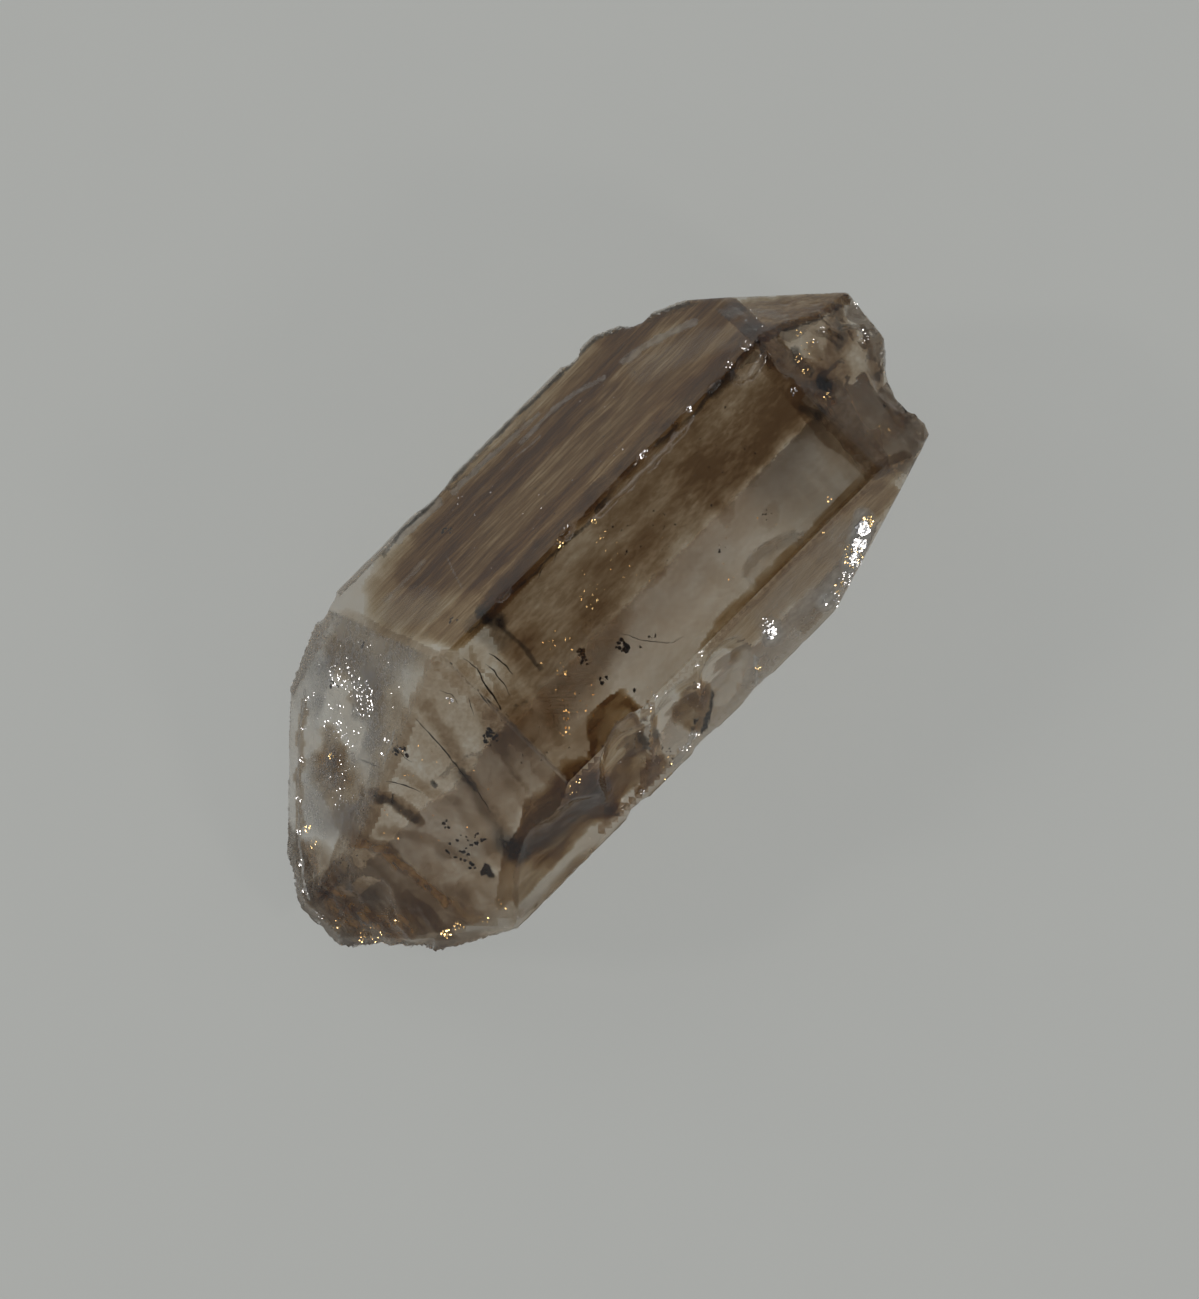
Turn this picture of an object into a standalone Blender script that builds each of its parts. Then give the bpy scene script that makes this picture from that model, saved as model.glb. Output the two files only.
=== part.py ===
"""A double terminated crystal of smoky quartz, lying on one of its prism faces.

It grew as one piece, so it is one solid. Its long axis runs along X. The flat faces are cut from a block at
the angles that quartz grows at, then the scars, the worn ridge and the broken ends are carved out of it.
"""
import math

import bmesh
import bpy
from mathutils import Matrix, Vector, noise

MM = 0.001

# The height of the crystal above the face that it lies on, and a block that is larger than the crystal.
HEIGHT = 15.2
BLOCK = 80.0

# The middle of the crystal's outline, seen from above and measured from the middle of its axis.
MIDDLE = (-0.05, 0.03)

# The quartz as it looks from a step away: smoky brown, glassy and see-through.
SMOKE = (0.16, 0.12, 0.085, 1.0)
GLOSS = 0.06
REFRACTION = 1.544

# The seed of the noise in the scars, so that every run gives the same crystal.
NOISE_SEED = 1796065595

# Each face has a turn round the long axis (0 is +Y, 90 is up), the lean of its normal from +X, and its
# distance from the middle of the axis in mm. Prism faces lean 90 degrees. The pyramid faces of each end
# stand 51.8 degrees from the axis, as on every quartz crystal.
PRISM = 90.0
PYRAMID = 51.8
FACES = {
    "top": (90, PRISM, HEIGHT / 2),
    "bottom": (-90, PRISM, HEIGHT / 2),
    "front upper": (150, PRISM, 8.66),
    "front lower": (-141.8, PRISM, 5.88),
    "back upper": (30, PRISM, 6.44),
    "back lower": (-30, PRISM, 9.2),
    "right top": (90, PYRAMID, 15.32),
    "right bottom": (-90, PYRAMID, 15.6),
    "right front lower": (-150, PYRAMID, 14.6),
    "right back upper": (30, PYRAMID, 14.61),
    "right back lower": (-30, PYRAMID, 13.3),
    "right back corner": (0, 47.8, 14.72),
    "right front": (180, 72.9, 11.09),
    "right blunt end": (180, 6.5, 19.74),
    "right chipped end": (180, 19.7, 18.95),
    "left top": (90, 180 - PYRAMID, 9.93),
    "left bottom": (-90, 180 - PYRAMID, 16.5),
    "left front upper": (150, 180 - PYRAMID, 15.0),
    "left front lower": (-150, 180 - PYRAMID, 17.3),
    "left back upper": (38.5, 128.7, 9.78),
    "left back lower": (-30, 180 - PYRAMID, 15.2),
    "left back rim": (6, 128.4, 13.35),
    "left tip": (91, 144.1, 13.43),
}


def outward(turn, lean):
    """The outward normal of a face from its turn and lean in degrees."""
    turn = math.radians(turn)
    lean = math.radians(lean)
    return Vector((math.cos(lean), math.sin(lean) * math.cos(turn), math.sin(lean) * math.sin(turn)))


def above(face, x, y):
    """The point of a face at a place in the plan, in mm."""
    turn, lean, reach = FACES[face]
    normal = outward(turn, lean)
    return Vector((x, y, (reach - normal.x * x - normal.y * y) / normal.z))


def beside(face, y, z):
    """The point of an end face at a given place across and up, in mm."""
    turn, lean, reach = FACES[face]
    normal = outward(turn, lean)
    return Vector(((reach - normal.y * y - normal.z * z) / normal.x, y, z))


# The damage. Each row gives a point, the turn and lean of the outward direction there, the spin of the scar
# in its own plane, then its length, width and depth and the height of the lumps in it, in mm.
# Shells knocked out of the front edge and the front face.
SHELLS = [
    (above("front upper", -3.6, -6.8), 150, 90, 62, 7.4, 3.2, 0.80, 0.06),
    (above("front upper", -0.6, -7.2), 150, 90, 60, 6.0, 3.0, 0.60, 0.06),
    (above("front upper", 2.7, -7.3), 150, 90, 66, 5.2, 3.2, 0.70, 0.05),
    (above("front upper", -9.0, -7.25), 153, 97, 166, 10.4, 5.6, 0.90, 0.10),
]
# Chips along the ridge between the top and the back upper face.
RIDGE_CHIPS = [
    (above("top", 6.8, 2.72), 84, 90, 0, 8.2, 0.9, 0.30, 0.03),
    (above("top", 14.0, 2.55), 84, 88, 14, 2.3, 1.3, 0.34, 0.06),
    (above("top", 9.9, 3.0), 60, 90, 0, 1.3, 0.8, 0.15, 0.04),
    (above("top", 2.0, 3.0), 62, 90, 0, 1.5, 0.7, 0.14, 0.04),
    (above("top", -2.2, 3.05), 62, 90, 0, 1.1, 0.6, 0.10, 0.03),
    (above("top", 12.1, 3.05), 60, 90, 0, 1.0, 0.6, 0.12, 0.03),
]
# The rough, broken places at the two ends.
BREAKS = [
    (above("right top", 16.6, 1.1), 90, 51.8, 30, 4.8, 3.8, 0.25, 0.40),
    (above("right top", 19.0, 0.6), 70, 34, 20, 3.0, 2.8, 0.30, 0.30),
    (above("right top", 18.4, -2.4), 120, 36, 60, 3.4, 2.6, 0.40, 0.30),
    (beside("right chipped end", -3.6, -0.6), 172, 18, 0, 14.0, 5.0, 0.80, 0.25),
    (above("left tip", -17.6, -3.4), 91, 144.1, 80, 9.4, 7.4, 0.25, 0.30),
    (above("left back upper", -12.9, 3.6), 38.5, 128.7, 20, 6.6, 5.4, 0.10, 0.24),
    (above("left front upper", -14.4, -7.3), 150, 128.2, 20, 7.0, 4.4, 0.14, 0.26),
]
# Nicks in the outline and in the edges of the side that lies down.
NICKS = [
    (Vector((8.3, 8.95, -2.4)), 0, 88, 0, 1.2, 2.4, 0.25, 0.05),
    (Vector((11.8, 7.95, -1.2)), 0, 66, 10, 1.3, 2.2, 0.22, 0.05),
    (Vector((-1.2, 8.95, -2.6)), 0, 90, 0, 2.2, 1.1, 0.12, 0.04),
    (Vector((-8.9, 8.7, -3.0)), 0, 100, 0, 1.6, 1.8, 0.20, 0.05),
    (Vector((-4.9, -8.95, 1.9)), 180, 90, 20, 1.7, 1.2, 0.20, 0.06),
    (Vector((-0.2, -8.95, 1.7)), 180, 90, 60, 1.5, 2.2, 0.22, 0.06),
    (Vector((3.4, -8.95, 1.8)), 180, 90, 0, 2.2, 1.0, 0.14, 0.05),
    (Vector((2.5, 5.7, -7.6)), -60, 90, 0, 5.0, 1.6, 0.25, 0.08),
    (Vector((-7.0, -1.5, -7.6)), -116, 90, 0, 4.2, 1.8, 0.25, 0.08),
    (Vector((9.0, -5.75, -2.2)), -141.8, 90, 50, 6.0, 3.4, 0.35, 0.10),
]


def crystal():
    """The perfect crystal, before any damage: a block cut down by every face in turn."""
    mesh = bmesh.new()
    bmesh.ops.create_cube(mesh, size=BLOCK)
    for turn, lean, reach in FACES.values():
        normal = outward(turn, lean)
        everything = mesh.verts[:] + mesh.edges[:] + mesh.faces[:]
        cut = bmesh.ops.bisect_plane(
            mesh, geom=everything, plane_co=normal * reach, plane_no=normal, clear_outer=True
        )
        rim = [edge for edge in cut["geom_cut"] if isinstance(edge, bmesh.types.BMEdge)]
        bmesh.ops.edgeloop_fill(mesh, edges=rim)
    bmesh.ops.recalc_face_normals(mesh, faces=mesh.faces)
    return mesh


def roughness(x, y, number):
    """Hackly lumps from about -1 to 1: small peaks on a slower swell."""
    place = Vector((x, y, 5.3 * number))
    nearest = noise.voronoi(place * 0.85)[0][0]
    return 0.8 * noise.fractal(place * 0.6, 0.9, 2.1, 3) + 1.1 * (0.45 - nearest)


def scar(length, width, depth, lumps, number):
    """A closed cutter that leaves a shell-shaped hollow. It lies in XY in mm: a dish with faint ripples
    that spread from the point that was struck, with lumps where the break is hackly."""
    spread = 1.3
    cell = 0.42 if length > 3 else 0.28
    columns = max(5, round(spread * length / cell))
    rows = max(4, round(spread * width / cell))
    mesh = bmesh.new()
    bmesh.ops.create_grid(mesh, x_segments=columns, y_segments=rows, size=spread)
    bmesh.ops.triangulate(mesh, faces=mesh.faces)
    for vert in mesh.verts:
        u, v = vert.co.xy
        t = math.hypot(u, v) * (1 + 0.12 * noise.noise(Vector((u, v, number)).normalized() * 1.7))
        jitter = noise.noise_vector(Vector((u * length, v * width, number)) * 3.1) * 0.3 * cell
        x = u * length / 2 + jitter.x
        y = v * width / 2 + jitter.y
        ripple = 0.07 * depth * math.sin(math.tau * math.hypot(x - length / 2, y) / (0.24 * length))
        fade = max(0.0, 1 - (t / spread) ** 4)
        vert.co = (x, y, depth * (t * t - 1) + fade * (ripple + lumps * roughness(x, y, number)))
    lid = 3 * depth + 1
    edge = [edge for edge in mesh.edges if edge.is_boundary]
    walls = bmesh.ops.extrude_edge_only(mesh, edges=edge)["geom"]
    for vert in walls:
        if isinstance(vert, bmesh.types.BMVert):
            vert.co.z = lid
    brim = [edge for edge in mesh.edges if edge.is_boundary]
    bmesh.ops.edgeloop_fill(mesh, edges=brim)
    bmesh.ops.recalc_face_normals(mesh, faces=mesh.faces)
    return mesh


def new_object(name, mesh):
    """Puts a bmesh that is in mm into a named object, standing on the ground."""
    mesh.transform(Matrix.Scale(MM, 4) @ Matrix.Translation((-MIDDLE[0], -MIDDLE[1], HEIGHT / 2)))
    data = bpy.data.meshes.new(name)
    mesh.to_mesh(data)
    mesh.free()
    item = bpy.data.objects.new(name, data)
    bpy.context.scene.collection.objects.link(item)
    return item


def carve(item, number, point, turn, lean, spin, length, width, depth, lumps):
    """Takes one scar out of the crystal with a cutter that is never rendered."""
    up = outward(turn, lean)
    along = (Vector((1, 0, 0)) - up * up.x).normalized()
    if abs(up.x) > 0.85:
        along = (Vector((0, 0, 1)) - up * up.z).normalized()
    frame = Matrix((along, up.cross(along), up)).transposed().to_4x4()
    mesh = scar(length, width, depth, lumps, number)
    mesh.transform(Matrix.Translation(point) @ frame @ Matrix.Rotation(math.radians(spin), 4, "Z"))
    cutter = new_object(f"scar_cutter_{number:02d}", mesh)
    cutter.hide_render = True
    cutter.display_type = "WIRE"
    cut = item.modifiers.new(cutter.name, "BOOLEAN")
    cut.operation = "DIFFERENCE"
    cut.solver = "EXACT"
    cut.object = cutter


def smoky_quartz():
    """The crystal's material."""
    material = bpy.data.materials.new("smoky_quartz")
    material.use_nodes = True
    shader = material.node_tree.nodes["Principled BSDF"]
    shader.inputs["Base Color"].default_value = SMOKE
    shader.inputs["Roughness"].default_value = GLOSS
    shader.inputs["Metallic"].default_value = 0.0
    shader.inputs["IOR"].default_value = REFRACTION
    shader.inputs["Transmission Weight"].default_value = 1.0
    return material


for item in list(bpy.data.objects):
    bpy.data.objects.remove(item)

noise.seed_set(NOISE_SEED)
quartz =new_object("quartz_crystal", crystal())
quartz.data.materials.append(smoky_quartz())
for number, row in enumerate(SHELLS + RIDGE_CHIPS + BREAKS + NICKS, start=1):
    carve(quartz, number, *row)
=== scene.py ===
"""A double terminated crystal of smoky quartz, lying on a pale floor and seen from straight above."""
import math
import random

import bmesh
import bpy
from mathutils import Matrix, Vector, noise
from mathutils.bvhtree import BVHTree
from mathutils.kdtree import KDTree


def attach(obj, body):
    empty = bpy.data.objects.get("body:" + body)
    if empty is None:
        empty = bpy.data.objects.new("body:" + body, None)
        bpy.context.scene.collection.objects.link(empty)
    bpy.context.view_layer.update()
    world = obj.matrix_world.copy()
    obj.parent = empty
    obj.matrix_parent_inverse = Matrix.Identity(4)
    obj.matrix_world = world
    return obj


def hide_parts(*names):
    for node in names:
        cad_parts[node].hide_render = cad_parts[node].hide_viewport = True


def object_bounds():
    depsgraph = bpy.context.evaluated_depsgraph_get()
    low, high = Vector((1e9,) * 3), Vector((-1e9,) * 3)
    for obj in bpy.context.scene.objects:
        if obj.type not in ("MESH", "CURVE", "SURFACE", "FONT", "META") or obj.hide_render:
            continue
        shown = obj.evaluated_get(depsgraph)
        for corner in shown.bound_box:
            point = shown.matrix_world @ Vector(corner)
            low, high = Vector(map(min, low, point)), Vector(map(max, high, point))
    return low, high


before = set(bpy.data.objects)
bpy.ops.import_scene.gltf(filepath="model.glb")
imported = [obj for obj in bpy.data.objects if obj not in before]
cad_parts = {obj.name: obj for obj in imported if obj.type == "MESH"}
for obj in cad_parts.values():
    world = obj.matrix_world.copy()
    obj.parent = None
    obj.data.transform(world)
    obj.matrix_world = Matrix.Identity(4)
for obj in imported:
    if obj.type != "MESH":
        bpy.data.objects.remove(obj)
cad_box = [list(corner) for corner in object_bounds()]

# The crystal itself: grown quartz, glassy where its flat faces still are, with growth lines across its
# length, etch pits, shell-shaped breaks and bruised edges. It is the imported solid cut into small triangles
# and worn by hundredths of a millimetre, never outwards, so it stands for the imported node.
MM = 0.001
SHARP = math.radians(24)
QUARTZ_IOR = 1.544
SMOKE_DENSITY = 40.0
SMOKE_TINT = (0.70, 0.59, 0.40, 1.0)
WATER_CLEAR = (1.0, 0.985, 0.96, 1.0)
IRON_BROWN = (0.80, 0.62, 0.42, 1.0)


class Value:
    """A number given by a socket. Python's operators on it add Math nodes."""

    def __init__(self, socket):
        self.socket = socket

    def maths(self, operation, *operands):
        node = self.socket.node.id_data.nodes.new("ShaderNodeMath")
        node.operation = operation
        for slot, operand in zip(node.inputs, operands):
            if isinstance(operand, Value):
                node.id_data.links.new(operand.socket, slot)
            else:
                slot.default_value = operand
        return Value(node.outputs[0])

    def __add__(self, other):
        return self.maths("ADD", self, other)

    def __mul__(self, other):
        return self.maths("MULTIPLY", self, other)

    __radd__ = __add__
    __rmul__ = __mul__


class Finish:
    """A material in the making. One method adds any node, and one gives the shader its values."""

    def __init__(self, name):
        self.material = bpy.data.materials.new(name)
        self.material.use_nodes = True
        self.tree = self.material.node_tree
        self.shader = self.tree.nodes["Principled BSDF"]

    def plug(self, slot, value):
        if isinstance(value, Value):
            value = value.socket
        if isinstance(value, bpy.types.NodeSocket):
            self.tree.links.new(value, slot)
        else:
            slot.default_value = value

    def node(self, kind, settings, sockets, output=0):
        """Adds a node of a kind, sets its settings, then its sockets, and gives one of its outputs."""
        made = self.tree.nodes.new("ShaderNode" + kind)
        for name, setting in settings.items():
            if name == "stops":
                while len(made.color_ramp.elements) < len(setting):
                    made.color_ramp.elements.new(0.5)
                for element, (place, shade) in zip(made.color_ramp.elements, setting):
                    element.position = place
                    element.color = shade if isinstance(shade, tuple) else (shade, shade, shade, 1.0)
            else:
                setattr(made, name, setting)
        for name, value in sockets.items():
            self.plug(made.inputs[name], value)
        return Value(made.outputs[output])

    def set(self, **sockets):
        for name, value in sockets.items():
            self.plug(self.shader.inputs[name.replace("_", " ")], value)

    def noise(self, scale, detail, place=None):
        """Cloudy noise from 0 to 1, with its scale per mm."""
        if place is None:
            place = self.node("TexCoord", {}, {}, "Object")
        return self.node("TexNoise", {}, {"Vector": place, "Scale": scale / MM, "Detail": detail})

    def steps(self, value, *stops):
        """Remaps a value through the stops of a ramp."""
        return self.node("ValToRGB", {"stops": stops}, {"Fac": value})

    def mix(self, share, first, second):
        """Mixes two colours."""
        return self.node("Mix", {"data_type": "RGBA"}, {0: share, 6: first, 7: second}, 2)


def add_object(name, mesh, finish, body="root"):
    """Turns a bmesh in metres into a piece that rides on the crystal's body."""
    data = bpy.data.meshes.new(name)
    mesh.to_mesh(data)
    mesh.free()
    data.materials.append(finish.material)
    item = bpy.data.objects.new(name, data)
    bpy.context.scene.collection.objects.link(item)
    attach(item, body)
    return item


def near(value, start, end):
    """1 below start, 0 above end, and a smooth fall between them."""
    t = min(1.0, max(0.0, (end - value) / (end - start)))
    return t * t * (3 - 2 * t)


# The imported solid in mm. A face is grown where enough of the surface lies in one plane, and broken
# elsewhere. The crystal's own edges are those of its grown faces. Planes are told apart by their normal, in
# fortieths, and their distance from the origin, in eighths of a mm.
SAME_CORNER = 0.0005
NORMAL_PARTS = 40
REACH_PARTS = 8
GROWN_AREA = 2.5
EDGE_BEND = 0.12
EDGE_STEP = 0.03
solid = bmesh.new()
solid.from_mesh(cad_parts["quartz_crystal"].data)
solid.transform(Matrix.Scale(1 / MM, 4))
bmesh.ops.remove_doubles(solid, verts=solid.verts, dist=SAME_CORNER)
solid.normal_update()
solid.faces.index_update()
plane_area = {}
plane_of = {}
for face in solid.faces:
    key = tuple(round(part * NORMAL_PARTS) for part in face.normal)
    key += (round(face.normal.dot(face.calc_center_median()) * REACH_PARTS),)
    plane_of[face.index] = key
    plane_area[key] = plane_area.get(key, 0.0) + face.calc_area()
grown = {index: plane_area[key] > GROWN_AREA for index, key in plane_of.items()}
edge_marks = []
for edge in solid.edges:
    one, two = edge.link_faces
    bend = one.normal.angle(two.normal, 0.0)
    if bend > EDGE_BEND and (grown[one.index] or grown[two.index]):
        start, end = (vert.co for vert in edge.verts)
        pieces = max(1, round((end - start).length / EDGE_STEP))
        edge_marks += [start.lerp(end, step / pieces) for step in range(pieces + 1)]
edge_points = KDTree(len(edge_marks))
for index, mark in enumerate(edge_marks):
    edge_points.insert(mark, index)
edge_points.balance()
solid_tree = BVHTree.FromBMesh(solid)

# It is laid out anew in even cells, and every corner is put back on the solid, or on its nearest edge, and
# then worn inwards, all in mm. A wear with two values has its least depth and how much its small steps add.
# That of the ends grows between two distances from the middle, and bruises have knocks and crumbs.
GRAIN = 0.165
PLAIN_WEAR = 0.016
LINE_DEPTH = 0.008
SWELL_DEPTH = 0.008
FROST_WEAR = (0.03, 0.13)
BREAK_WEAR = (0.02, 0.06)
END_WEAR = (0.02, 0.26)
END_REACH = (15.0, 18.6)
BRUISE_WEAR = (0.012, 0.05, 0.02)
BRUISE_WIDTH = 0.20
FROST_WIDTH = 0.22
FROSTED_FACE = Vector((-0.62, 0.61, 0.49))
rough_data = bpy.data.meshes.new("rough")
solid.to_mesh(rough_data)
rough = bpy.data.objects.new("rough", rough_data)
bpy.context.scene.collection.objects.link(rough)
cells = rough.modifiers.new("cells", "REMESH")
cells.mode = "VOXEL"
cells.voxel_size = GRAIN
even = bpy.data.meshes.new_from_object(rough.evaluated_get(bpy.context.evaluated_depsgraph_get()))
bpy.data.objects.remove(rough)
skin_mesh = bmesh.new()
skin_mesh.from_mesh(even)
skin_mesh.normal_update()
frost_layer = skin_mesh.verts.layers.float.new("frost")
etch_layer = skin_mesh.verts.layers.float.new("etch")
places = []
for vert in skin_mesh.verts:
    mark, index, gap = edge_points.find(vert.co)
    spot, normal, face, reach = solid_tree.find_nearest(vert.co)
    if gap < 0.5 * GRAIN:
        spot = mark
    inward = vert.normal if gap < GRAIN else normal
    # Growth lines across the length of the prism faces, and slow swells everywhere.
    prism = near(abs(normal.x), 0.10, 0.35)
    lines = noise.noise(Vector((spot.x * 2.6, spot.y * 0.12, spot.z * 0.12)))
    swell = noise.fractal(spot * 0.35, 1.0, 2.0, 2)
    dent = PLAIN_WEAR + LINE_DEPTH * prism * lines + SWELL_DEPTH * swell
    # The left back face is frosted all over with small steps, and the breaks are hackly.
    frosted = near((normal - FROSTED_FACE).length, 0.25, 0.75)
    hackly = 0.0 if grown[face] else 1.0
    near_cells = noise.voronoi(spot * 1.9)[0]
    step = 0.6 * (near_cells[1] - near_cells[0]) * (0.6 + noise.noise(spot * 0.8))
    dent += frosted * (FROST_WEAR[0] + FROST_WEAR[1] * step)
    dent += hackly * (BREAK_WEAR[0] + BREAK_WEAR[1] * step)
    # Both ends are worn and lumpy.
    at_end = near(-abs(spot.x), -END_REACH[1], -END_REACH[0])
    dent += at_end * (END_WEAR[0] + END_WEAR[1] * step)
    # Bruised edges.
    worn = near(gap, 0.02, BRUISE_WIDTH)
    knocks = abs(noise.noise(spot * 1.3))
    crumbs = noise.noise(spot * 4.1)
    dent += worn * (BRUISE_WEAR[0] + BRUISE_WEAR[1] * knocks + BRUISE_WEAR[2] * crumbs)
    places.append(spot - inward * max(0.0, dent))
    edge_frost = 0.8 * near(gap, 0.04, FROST_WIDTH) * (0.5 + noise.noise(spot))
    vert[frost_layer] = max(frosted, 0.5 * hackly, edge_frost)
    # The faces that look down are etched dull, the one that it lies on most of all.
    vert[etch_layer] = near(normal.z, -0.95, -0.15)
for vert, place in zip(skin_mesh.verts, places):
    vert.co = place * MM
skin_tree = BVHTree.FromBMesh(skin_mesh)

# Its finish: nearly water-clear and smooth, with brown bloom, etch pits, frost and the dull underside. The
# even smoke in it is the absorption of light along its way through the quartz.
quartz_finish = Finish("smoky_quartz_skin")
frost = quartz_finish.node("Attribute", {"attribute_name": "frost"}, {}, "Fac")
etch = quartz_finish.node("Attribute", {"attribute_name": "etch"}, {}, "Fac")
pits = quartz_finish.steps(quartz_finish.noise(6.0, 3.0), (0.60, 0.0), (0.70, 1.0))
clouds = quartz_finish.noise(0.35, 4.0)
bloom = quartz_finish.steps(clouds, (0.45, 0.0), (0.75, 1.0))
quartz_finish.set(
    Base_Color=quartz_finish.mix(bloom * 0.35, WATER_CLEAR, IRON_BROWN),
    Roughness=0.035 + bloom * 0.05 + pits * 0.10 + frost * 0.22 + etch * 0.50,
    IOR=QUARTZ_IOR,
    Transmission_Weight=1.0,
    Normal=quartz_finish.node(
        "Bump", {}, {"Strength": 0.25, "Distance": 0.03 * MM, "Height": quartz_finish.noise(3.2, 5.0)}
    ),
)
absorption = quartz_finish.node(
    "VolumeAbsorption", {}, {"Color": SMOKE_TINT, "Density": SMOKE_DENSITY}, "Volume"
)
quartz_finish.plug(quartz_finish.tree.nodes["Material Output"].inputs["Volume"], absorption)

for edge in skin_mesh.edges:
    edge.smooth = not (edge.is_manifold and edge.calc_face_angle(0.0) > SHARP)
for face in skin_mesh.faces:
    face.smooth = True
skin = add_object("quartz_surface", skin_mesh, quartz_finish)
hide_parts("quartz_crystal")

# Smoke and painted shade: soft brown clouds grown inside the quartz along its faces, and darker films and
# patches in it. Some of them are painted shade, standing in for the shaded floor under the crystal seen
# through it and for the shade in its breaks. Each is a thin wavy sheet inside the crystal, placed by the
# pixels of the photograph at which it shows, and carried down along the line of sight as the quartz bends
# it.
AXIS_MIDDLE = Vector((0.05, 0.0, 7.6))
# The faces that something shows through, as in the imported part: the turn round the long axis, the lean of
# the normal from it, and the distance from the middle of the axis in mm.
VIEWED_FACES = {
    "top": (90, 90, 7.6), "back": (30, 90, 6.44), "front": (150, 90, 8.66),
    "left top": (90, 128.2, 9.93), "left back": (38.5, 128.7, 9.78), "left tip": (91, 144.1, 13.43),
    "right top": (90, 51.8, 15.32), "right back": (30, 51.8, 14.61),
}
# What a step of one pixel in the photograph is along X and Y in mm, and where its first pixel lies.
PIXEL = 0.034493
FIRST_PIXEL = (0.98, 40.93)
OVERHEAD = 60
DOWN = Vector((0, 0, -1))


def plan(x, y):
    """The place seen from above, in mm, of a pixel of the photograph."""
    return Vector((PIXEL * (x - y) + FIRST_PIXEL[0], FIRST_PIXEL[1] - PIXEL * (x + y), 0.0))


def normal_of(face):
    """The outward normal of a viewed face from its turn round the long axis and its lean from it."""
    turn, lean = (math.radians(angle) for angle in VIEWED_FACES[face][:2])
    return Vector((math.cos(lean), math.sin(lean) * math.cos(turn), math.sin(lean) * math.sin(turn)))


def bent(direction, normal):
    """A direction of travel after it has entered the quartz through a face."""
    cosine = -direction.dot(normal)
    deeper = math.sqrt(1 - (1 - cosine * cosine) / QUARTZ_IOR ** 2)
    return direction / QUARTZ_IOR + normal * (cosine / QUARTZ_IOR - deeper)


def inside(face, x, y, depth):
    """The point inside the crystal, in mm, that is seen at a pixel through a face."""
    normal = normal_of(face)
    spot = plan(x, y)
    rise = (VIEWED_FACES[face][2] - normal.dot(spot - Vector((AXIS_MIDDLE.x, 0, 0)))) / normal.z
    return Vector((spot.x, spot.y, AXIS_MIDDLE.z + rise)) + bent(DOWN, normal) * depth


def depth_of(place):
    """How far inside the solid's surface a place is, and 0 outside it."""
    roof = solid_tree.ray_cast(Vector((place.x, place.y, OVERHEAD)), DOWN)[0]
    spot, normal, index, gap = solid_tree.find_nearest(place)
    inner = roof is not None and roof.z > place.z and (place - spot).dot(normal) < 0
    return gap if inner else 0.0


# A stroke's edge sways by these noises, given per pixel, and a thin stroke swells and shrinks. The seed
# gives the same edges in every run.
NOISE_SEED = 1796067167
WIDE_SWAY = 0.045
FINE_SWAY = 0.21
SWELL = 0.08
WIDEST_SWELL = 3.0
noise.seed_set(NOISE_SEED)


def share_at(x, y, strokes, ragged):
    """How much light the strokes stop at a pixel. A stroke has a path of pixels, half its width, the width
    of its soft rim, and its strength."""
    place = Vector((x, y, 0.0))
    wide = noise.noise_vector(place * WIDE_SWAY) * ragged
    place += wide + noise.noise_vector(place * FINE_SWAY) * 0.3 * ragged
    swell = 0.8 * noise.noise(place * SWELL)
    place = place.to_2d()
    passed = 1.0
    for path, half_width, soft, strength in strokes:
        half_width += min(half_width, WIDEST_SWELL) * swell
        points = [Vector(point) for point in path]
        gap = min((place - point).length for point in points)
        for start, end in zip(points, points[1:]):
            along = end - start
            t = along.dot(place - start) / along.length_squared
            if 0 < t < 1:
                gap = min(gap, (start + along * t - place).length)
        passed *= 1 - strength * near(gap, half_width, half_width + soft)
    return 1 - passed


# A film ends where it gets too faint to see, and fades out near the surface. It waves up and down by a
# share of its depth.
FAINTEST = 0.015
RIM_FADE = 0.15
WAVE = 0.25
WAVE_SCALE = 0.025


def film(name, face, depth, finish, strokes, cell=4.0, ragged=6.0, margin=0.12):
    """A thin wavy sheet under a face, as wide as its strokes, that says at each corner how dense it is. Its
    cells and its ragged edge are in pixels, its depth and its least distance from the surface in mm."""
    reach = max(stroke[1] + stroke[2] for stroke in strokes) + ragged
    columns = [x for stroke in strokes for x, y in stroke[0]]
    rows = [y for stroke in strokes for x, y in stroke[0]]
    mesh = bmesh.new()
    layer = mesh.verts.layers.float.new("share")
    corners = {}
    for column in range(round((max(columns) - min(columns) + 2 * reach) / cell) + 1):
        for row in range(round((max(rows) - min(rows) + 2 * reach) / cell) + 1):
            x = min(columns) - reach + column * cell
            y = min(rows) - reach + row * cell
            share = share_at(x, y, strokes, ragged)
            if share < FAINTEST:
                continue
            wave = WAVE * depth * noise.noise(Vector((x, y, 9.0)) * WAVE_SCALE)
            place = inside(face, x, y, depth + wave)
            clear = depth_of(place)
            if clear > margin:
                corners[column, row] = mesh.verts.new(place * MM)
                corners[column, row][layer] = share * (1 - near(clear, margin, margin + RIM_FADE))
    for column, row in corners:
        quad = [corners.get(key) for key in
                ((column, row), (column + 1, row), (column + 1, row + 1), (column, row + 1))]
        if all(quad):
            mesh.faces.new(quad).smooth = True
    loose = [vert for vert in mesh.verts if not vert.link_faces]
    bmesh.ops.delete(mesh, geom=loose, context="VERTS")
    return add_object(name, mesh, finish)


def film_finish(name, dark, light, patchy, grain):
    """Cloudy film: two colours, and holes and thickenings at a scale per mm."""
    finish = Finish(name)
    share = finish.node("Attribute", {"attribute_name": "share"}, {}, "Fac")
    cloud = finish.noise(grain, 3.0)
    density = share * (1.15 - patchy + cloud * (2 * patchy))
    finish.set(
        Base_Color=finish.mix(finish.steps(cloud, (0.35, 0.0), (0.65, 1.0)), dark, light),
        Roughness=0.9,
        Alpha=finish.node("Math", {"operation": "MINIMUM"}, {0: density, 1: 0.97}),
    )
    finish.shader.inputs["Specular IOR Level"].default_value = 0.0
    return finish


SHADES = 15


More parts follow.
